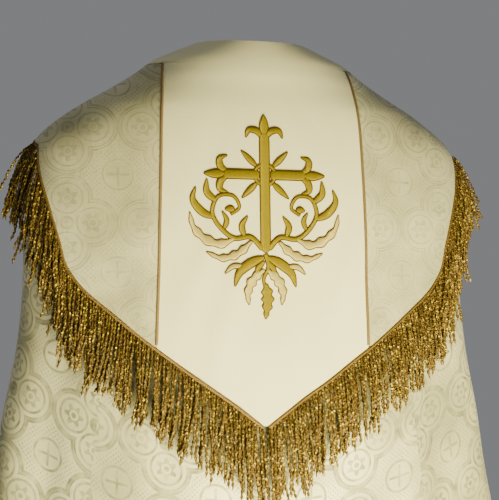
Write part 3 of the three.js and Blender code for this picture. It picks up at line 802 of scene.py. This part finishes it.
SHOULDER_SHARE = 0.44
for side in ("right", "left"):
    for part, first, last in (("side", 0.0, SHOULDER_SHARE), ("lower", SHOULDER_SHARE, 1.0)):
        name = f"fringe_{part}_{side}"
        verts, faces = strands(first, last)
        if side == "left":
            verts, faces = verts * MIRROR, faces[:, ::-1]
            swap = faces[:, 0] == faces[:, 1]
            faces[swap] = faces[swap][:, [1, 2, 3, 0]]
        three_sided = faces[:, 2] == faces[:, 3]
        faces = faces[~three_sided].tolist() + faces[three_sided][:, :3].tolist()
        fringe = build_mesh(f"{name}_strands", verts * MM, faces, verts[:, [0, 2]] * MM, BULLION)
        if part == "side":
            hang_from_neck(fringe, name)
        else:
            fasten(fringe, "hood", name)


# ---- embroidery on the hood ----
# A flowered cross over leafy scrolls, worked in gold satin stitch over padding. Each shape has a
# rounded top, stitches across it, and a thin dark cord couched round its edge.
MOTIF_DEPTH = 254
STITCH_FOOT = 4.5
STITCH_ROW = 1.6
CORD_OFF = 0.35
CROSSING = np.array([0, 52.0])


def stitch_finish(name, dark, mid, bright, stitch):
    finish, tree, shader = new_finish(name)
    cloth, u, v = flat_cloth(tree)
    slant = plus(tree, u, times(tree, v, 0.35))
    thread = ribs(tree, slant, stitch)
    streak = noise(tree, cloth, 900, 2)
    tone = noise(tree, cloth, 90, 2)
    # The stitches' tops are painted lighter and the grooves between them darker: painted shade between the
    # stitches.
    colour = blend_colour(tree, thread, dark, mid)
    # Random streaks are painted in the bright colour: painted highlights along the thread.
    colour = blend_colour(tree, past(tree, streak, 0.5, 3), colour, bright)
    colour = blend_colour(tree, times(tree, tone, 0.35), colour, dark)
    tree.links.new(colour, shader.inputs["Base Color"])
    tree.links.new(minus(tree, 0.55, times(tree, thread, 0.2)), shader.inputs["Roughness"])
    shader.inputs["Metallic"].default_value = 0.25
    shader.inputs["Specular IOR Level"].default_value = 0.15
    raised(tree, shader, plus(tree, thread, times(tree, streak, 0.4)), 0.0005)
    return finish


THREAD = stitch_finish("gold_satin_stitch",
                       (0.15, 0.098, 0.0011), (0.35, 0.265, 0.003), (0.58, 0.46, 0.010), 0.0010)
COUCHING = stitch_finish("couched_cord",
                         (0.04, 0.015, 0.001), (0.10, 0.045, 0.002), (0.22, 0.11, 0.008), 0.0012)
PALE_THREAD = stitch_finish("pale_satin_stitch",
                            (0.50, 0.36, 0.07), (0.72, 0.59, 0.17), (0.84, 0.74, 0.27), 0.0010)


def smooth_path(points, count):
    """Evenly spaced places on a smooth curve through the points."""
    points = np.array(points, float)
    reach = run_along(points)
    fine = np.linspace(0, reach[-1], 400)
    table = np.column_stack([reach, points])
    curve = np.column_stack([eased(table, k + 1, fine) for k in range(points.shape[1])])
    run = run_along(curve)
    even = np.linspace(0, run[-1], count)
    return np.column_stack([np.interp(even, run, curve[:, k]) for k in range(points.shape[1])])


def on_hood(path):
    """A path across the motif laid on the hood, with the directions across it and out."""
    x, depth = path[:, 0], MOTIF_DEPTH - path[:, 1]
    angle = np.arcsin(x / hood_width(depth))
    line = hood_points(angle, depth)
    out = unit(np.cross(hood_points(angle, depth + 1) - line, hood_points(angle + 0.003, depth) - line))
    return line, unit(np.cross(out, np.gradient(line, axis=0))), out


BAR = lambda t: np.clip(1 - np.abs(2 * t - 1) ** 30, 0.05, 1)
LEAF = lambda t: 0.06 + 0.94 * np.sin(math.pi * t ** 0.75) ** 0.85
LOBED = lambda t: LEAF(t) * (0.84 + 0.2 * np.cos(2 * math.pi * 4.5 * t))
STEM = lambda t: 1 - 0.55 * t


def stroke(points, half, outline, sign=1, lay=on_hood, foot=STITCH_FOOT):
    """A padded satin stitch shape along a path and the couched cord round it."""
    count = max(14, int(run_along(np.array(points, float))[-1] / STITCH_ROW))
    path = smooth_path(points, count) * [sign, 1]
    share = np.linspace(0, 1, count)
    width = half * outline(share)
    line, across, out = lay(path)
    body = strip_shape(line, across, out, width, foot, np.minimum(1.7, 0.25 + 0.3 * width), 10)
    aside = across * (width + CORD_OFF)[:, None]
    loop = np.concatenate([line + aside, (line - aside)[::-1], (line + aside)[:1]])
    loop_out = np.concatenate([out, out[::-1], out[:1]])
    loop_across = unit(np.cross(loop_out, np.gradient(loop, axis=0)))
    return body, strip_shape(loop, loop_across, loop_out, 0.75, foot, 0.85, 4)


def turned(points, quarter):
    """The same shape turned about the crossing of the arms, by quarter turns."""
    angle = quarter * math.pi / 2
    turn = np.array([[math.cos(angle), -math.sin(angle)], [math.sin(angle), math.cos(angle)]])
    return (np.array(points, float) - CROSSING) @ turn.T + CROSSING


arm_petals = [([(0, 110), (0, 124), (0, 140)], 6.5, LEAF),
              ([(3, 106), (11, 116), (22, 117), (27, 106)], 4.6, LEAF),
              ([(-3, 106), (-11, 116), (-22, 117), (-27, 106)], 4.6, LEAF)]
cross_strokes = [([(0, 114), (0, 60), (0, -60)], 7.0, BAR)]
for quarter in (1, 3):
    cross_strokes.append((turned([(0, 60), (0, 90), (0, 112)], quarter), 7.0, BAR))
for quarter in (0, 1, 3):
    cross_strokes += [(turned(points, quarter), half, shape) for points, half, shape in arm_petals]
for quarter in range(4):
    cross_strokes.append((turned([(12, 64), (22, 74), (34, 86)], quarter), 4.0, LEAF))
ring = [(15 * math.cos(a), 52 + 15 * math.sin(a)) for a in np.linspace(0.2, 0.2 + 2 * math.pi, 17)]
cross_strokes.append((ring, 2.2, lambda t: 1 + 0 * t))

scroll_strokes = [
    ([(5, -54), (22, -38), (44, -40), (64, -26), (76, -2), (66, 20), (46, 20), (38, 4), (50, -6)],
     3.4, STEM),
    ([(44, -40), (66, -48), (88, -40), (104, -22), (108, -4)], 7.0, LOBED),
    ([(72, -12), (92, -2), (104, 16), (100, 32)], 5.2, LEAF),
    ([(70, 12), (84, 26), (84, 44)], 4.6, LEAF),
    ([(30, -38), (34, -22), (26, -8)], 4.0, LEAF),
    ([(60, -28), (56, -14), (62, -2)], 3.2, LEAF),
    ([(20, -44), (40, -62), (64, -68), (84, -60)], 6.4, LOBED),
    ([(45, 0), (51, 2), (58, 1)], 4.6, LEAF),
]
spray_strokes = [
    ([(0, -62), (4, -80), (-3, -98), (0, -112)], 3.0, STEM),
    ([(0, -104), (3, -124), (0, -154)], 9.0, LOBED),
]
spray_pairs = [
    ([(2, -66), (20, -74), (38, -90), (44, -108)], 6.6, LEAF),
    ([(2, -84), (18, -98), (26, -118), (24, -134)], 7.2, LOBED),
    ([(2, -72), (12, -84), (12, -98)], 3.6, LEAF),
    ([(30, -80), (46, -80), (58, -90)], 3.6, LEAF),
]
groups = {
    "cross": [(*item, 1) for item in cross_strokes],
    "scroll_right": [(*item, 1) for item in scroll_strokes],
    "scroll_left": [(*item, -1) for item in scroll_strokes],
    "spray": ([(*item, 1) for item in spray_strokes]
              + [(*item, sign) for item in spray_pairs for sign in (1, -1)]),
}
pale_leaves = {"cross": [], "scroll_right": [1, 6], "scroll_left": [1, 6], "spray": [4, 5, 8, 9]}
for group, items in groups.items():
    worked = [stroke(*item) for item in items]
    full = [body for k, (body, cord) in enumerate(worked) if k not in pale_leaves[group]]
    pale = [body for k, (body, cord) in enumerate(worked) if k in pale_leaves[group]]
    stitches = join_shapes(f"embroidery_{group}_stitches", full, THREAD)
    cords = join_shapes(f"embroidery_{group}_couching", [cord for body, cord in worked], COUCHING)
    pieces = [stitches, cords]
    if pale:
        pieces.append(join_shapes(f"embroidery_{group}_pale_leaves", pale, PALE_THREAD))
    for piece in pieces:
        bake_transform(piece)
    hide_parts(f"embroidery_{group}")


# ---- clasp ----
# A stiffened cream tab, 152 by 84 mm, sewn at its left end to one band and hooked to the other. It
# has its own lining, a gold braid frame laid on its face, and a small cross in satin stitch.
CLASP_DEPTH = 232
TAB_HALF, TAB_TALL, TAB_CORNER, TAB_LIFT = 76, 42, 8, 5
TAB_LINING, TAB_GAP, TAB_CLOTH = 1.2, 0.3, 2.6
TAB_FACE = TAB_LIFT + TAB_LINING + TAB_GAP + TAB_CLOTH
TAB_INMOST = 41


def front_y(depth):
    return CENTRE_Y + eased(BELL, 2, depth)


CLASP_SLOPE = math.atan2(front_y(CLASP_DEPTH + TAB_TALL) - front_y(CLASP_DEPTH - TAB_TALL), 2 * TAB_TALL)


def on_tab(x, off, z):
    """A place given in the tab's own plane: along it, off the bands, and up it."""
    x, off, z = np.broadcast_arrays(x, off, z)
    return np.stack([x, front_y(CLASP_DEPTH) + off * math.cos(CLASP_SLOPE) - z * math.sin(CLASP_SLOPE),
                     -CLASP_DEPTH + off * math.sin(CLASP_SLOPE) + z * math.cos(CLASP_SLOPE)], axis=-1)


def ring_shape(rings, uv=None):
    """A closed solid through rings of points, with its two ends filled in."""
    rows, count = rings.shape[:2]
    step = np.arange(count // 2 - 1)
    cap = np.stack([step, step + 1, count - 2 - step, count - 1 - step], axis=1)
    faces = np.concatenate([grid_faces(rows, count, wrap=True), cap, cap[:, ::-1] + (rows - 1) * count])
    if uv is None:
        along = run_along(rings[:, 0])
        round_by = np.arange(count) * np.linalg.norm(rings[0, 1] - rings[0, 0])
        uv = np.stack(np.broadcast_arrays(along[:, None], round_by[None]), axis=-1)
    return rings.reshape(-1, 3) * MM, faces, uv.reshape(-1, 2) * MM


def tab_outline(inset):
    """The tab's outline at an inset, anticlockwise from the middle of its right end."""
    half, tall, corner = TAB_HALF - inset, TAB_TALL - inset, max(TAB_CORNER - inset, 0.3)
    corners = []
    for x, z, first in ((1, -1, -90), (1, 1, 0), (-1, 1, 90), (-1, -1, 180)):
        turn = np.radians(np.linspace(first, first + 90, 9))
        corners.append(np.column_stack([x * (half - corner) + corner * np.cos(turn),
                                        z * (tall - corner) + corner * np.sin(turn)]))
    points = []
    for here, ahead in zip(corners, corners[1:] + corners[:1]):
        points.append(here)
        points.append(here[-1] + (ahead[0] - here[-1]) * np.linspace(0, 1, 17)[1:-1, None])
    return np.roll(np.concatenate(points), -16, axis=0)


def tab_slab(bottom, top, crown):
    """A flat cloth slab with soft edges, a little fuller in its middle."""
    steps = [(inset, bottom) for inset in (TAB_INMOST, 30, 15, 6, 1.2)]
    steps += [(0.3, bottom + 0.15), (0, bottom + 0.45), (0, top - 0.5), (0.25, top - 0.18), (0.9, top)]
    steps += [(inset, top + crown * inset / TAB_INMOST)
              for inset in (3, 6, 10, 15, 20, 25, 30, 36, TAB_INMOST)]
    rings, flats = [], []
    for inset, off in steps:
        outline = tab_outline(inset)
        bow = 0.12 * np.sin(outline[:, 0] * 0.09 + 1) * np.cos(outline[:, 1] * 0.11)
        bow *= min(inset / 6, (TAB_INMOST - inset) / 8, 1)
        rings.append(on_tab(outline[:, 0], off + bow, outline[:, 1]))
        flats.append(outline)
    return ring_shape(np.array(rings), np.array(flats))


def on_tab_face(path):
    line = on_tab(path[:, 0], TAB_FACE, path[:, 1])
    out = np.repeat((on_tab(0, 1, 0) - on_tab(0, 0, 0))[None], len(line), axis=0)
    return line, unit(np.cross(out, np.gradient(line, axis=0))), out


clasp_lining = join_shapes("clasp_lining_cloth", [tab_slab(TAB_LIFT, TAB_LIFT + TAB_LINING, 0.0)], LINING)
clasp_tab = join_shapes("clasp_tab_cloth", [tab_slab(TAB_FACE - TAB_CLOTH, TAB_FACE, 0.25)], SATIN)
frame_path = tab_outline(5.5)
frame_path = np.concatenate([frame_path, frame_path[:2]])
line, across, out = on_tab_face(frame_path)
line[-2:] = line[:2]
clasp_frame = domed_strip("clasp_braid_strip", line[:-1], across[:-1], out[:-1], 2.5, 0.3, 1.3, BRAID)
FLARED_ARM = lambda t: 0.5 + 0.5 * t**2
arms = [stroke([(0, 0), (12 * x, 12 * z), (24 * x, 24 * z)], 7.5, FLARED_ARM, 1, on_tab_face, 0.3)
        for x, z in ((1, 0), (0, 1), (-1, 0), (0, -1))]
clasp_stitches = join_shapes("clasp_cross_stitches", [body for body, cord in arms], THREAD)
clasp_cords = join_shapes("clasp_cross_couching", [cord for body, cord in arms], COUCHING)
fasten(clasp_lining, "clasp", "clasp_lining")
fasten(clasp_tab, "clasp", "clasp_tab")
fasten(clasp_frame, "clasp", "clasp_braid")
fasten(clasp_stitches, "clasp", "clasp_cross")
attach(clasp_cords, "clasp")


# ---- hooks, eyes, buttons and loops ----
# Two bent brass hooks under the tab's free end catch eyes sewn to the band. Three brass buttons on
# the neck band hold the hood by cord loops, and a cord loop inside the neck hangs the cope up.


def metal_finish():
    finish, tree, shader = new_finish("worn_brass")
    place = tree.nodes.new("ShaderNodeTexCoord").outputs["Object"]
    dull = noise(tree, place, 240, 3)
    fine = noise(tree, place, 1800, 2)
    colour = blend_colour(tree, dull, (0.60, 0.45, 0.18), (0.44, 0.31, 0.11))
    tree.links.new(colour, shader.inputs["Base Color"])
    tree.links.new(plus(tree, 0.22, times(tree, dull, 0.3)), shader.inputs["Roughness"])
    shader.inputs["Metallic"].default_value = 0.95
    raised(tree, shader, fine, 0.00005)
    return finish


METAL = metal_finish()
CORD = braid_finish("gold_loop_cord", (0.16, 0.09, 0.02), (0.40, 0.26, 0.07), (0.62, 0.46, 0.18), 0.0014)


def wire(points, radius, steps=90, lobes=0, sides=14, twist=3.2):
    """A round bar along a smooth line, or a cord twisted from a few strands."""
    line = smooth_path(points, steps)
    along = unit(np.gradient(line, axis=0))
    side = unit(np.cross(along, [0.13, 0.99, 0.05]))
    second = np.cross(side, along)
    run = run_along(line)
    turn = np.linspace(0, 2 * math.pi, sides, endpoint=False)
    phase = 2 * math.pi * run / twist
    thick = radius * (1 if not lobes else 0.86 + 0.14 * np.cos(lobes * turn[None] - phase[:, None]))
    thick = thick * np.clip(np.minimum(run, run[-1] - run) / radius + 0.45, 0, 1)[:, None]
    rings = line[:, None] + thick[..., None] * (side[:, None] * np.cos(turn)[None, :, None]
                                                + second[:, None] * np.sin(turn)[None, :, None])
    return ring_shape(rings)


SEWING_RING = 1.6


def curl(x, z, start, turned_by):
    """Places round a small sewing ring, from one angle on, in degrees."""
    return [(x + SEWING_RING * math.cos(a), z + SEWING_RING * math.sin(a))
            for a in np.radians(np.linspace(start, start + turned_by, 9))]


def fitting(name, shapes, finish, body, node):
    fasten(join_shapes(name, shapes, finish), body, node)


HOOK_X, HOOK_Z, WIRE = 54, 20, 0.7


def bent_wire(ring_x, ring_z, nose, z, off):
    """Wire bent from one sewing ring, round the nose, to the other. off is its height off the band."""
    path = curl(ring_x, z - ring_z, -180, 270)[::-1][:8]
    path += [(HOOK_X + x, z + across) for x, across in nose] + curl(ring_x, z + ring_z, -90, 250)
    path = np.array(path)
    return wire(on_tab(path[:, 0], off(path[:, 0]), path[:, 1]), WIRE, 160)


HOOK_NOSE = ((4, -1.9), (1, -1.3), (0, 0), (1, 1.3), (4, 1.9))
EYE_NOSE = ((4, -4.6), (0.3, -3), (-1, 0), (0.3, 3), (4, 4.6))
for index, z in ((1, HOOK_Z), (2, -HOOK_Z)):
    hook = bent_wire(HOOK_X + 12, 3.6, HOOK_NOSE, z, lambda x: 4.0 - 0.4 * (x < HOOK_X + 2))
    fitting(f"clasp_hook_{index}_wire", [hook], METAL, "clasp", f"clasp_hook_{index}")
    eye = bent_wire(HOOK_X + 10, 6.6, EYE_NOSE, z, lambda x: 2.0)
    fitting(f"clasp_eye_{index}_wire", [eye], METAL, "cope", f"clasp_eye_{index}")


def seat_on_bell(angle, depth):
    """A place on the bell, with the directions across it, out of it, and up it."""
    across = unit(bell_points(angle + 0.01, depth) - bell_points(angle - 0.01, depth))
    out = unit(np.cross(bell_points(angle, depth + 1.0) - bell_points(angle, depth - 1.0), across))
    return bell_points(angle, depth), across, out, np.cross(across, out)


BUTTON_DEPTH, BUTTON_ANGLES = 24.0, (-48, 0, 48)
# radius, and height off the bell
BUTTON_PROFILE = np.array([
    [0.4, 2.2], [3.5, 2.2], [4.6, 2.4], [4.6, 2.9], [5.6, 3.0], [6.0, 3.3], [5.9, 3.65],
    [5.4, 3.8], [5.0, 3.7], [4.7, 3.85], [4.0, 4.3], [2.8, 4.5], [1.4, 4.6], [0.3, 4.6]])
LOOP_RADIUS, LOOP_OFF, LOOP_CORD = 8.4, 3.3, 0.85
around = np.linspace(0, 2 * math.pi, 40, endpoint=False)
for index, degrees in enumerate(BUTTON_ANGLES, 1):
    middle, across, out, third = seat_on_bell(np.array(math.radians(degrees)), np.array(BUTTON_DEPTH))
    circle = across * np.cos(around)[:, None] + third * np.sin(around)[:, None]
    rings = np.array([middle + radius * circle + out * height for radius, height in BUTTON_PROFILE])
    if np.dot(np.cross(across, third), out) > 0:
        rings = rings[:, ::-1]
    fitting(f"hood_button_{index}_metal", [ring_shape(rings)], METAL, "cope", f"hood_button_{index}")
    turn = np.linspace(0, 2 * math.pi * 0.995, 40)
    loop = across * np.cos(turn)[:, None] + third * np.sin(turn)[:, None]
    loop = middle + out * LOOP_OFF + LOOP_RADIUS * loop
    fitting(f"hood_loop_{index}_cord", [wire(loop, LOOP_CORD, 140, 3)], CORD,
            "cope", f"hood_loop_{index}")

loop_y = CENTRE_Y - eased(BELL, 2, 0) + 9
hanging = [(-14, loop_y, -4), (-13.5, loop_y + 0.5, -13), (-10.5, loop_y + 1.2, -22), (0, loop_y + 2, -28),
           (10.5, loop_y + 1.2, -22), (13.5, loop_y + 0.5, -13), (14, loop_y, -4)]
fitting("hanging_loop_cord", [wire(hanging, 1.5, 160, 3, 16, 5)], CORD, "cope", "hanging_loop")
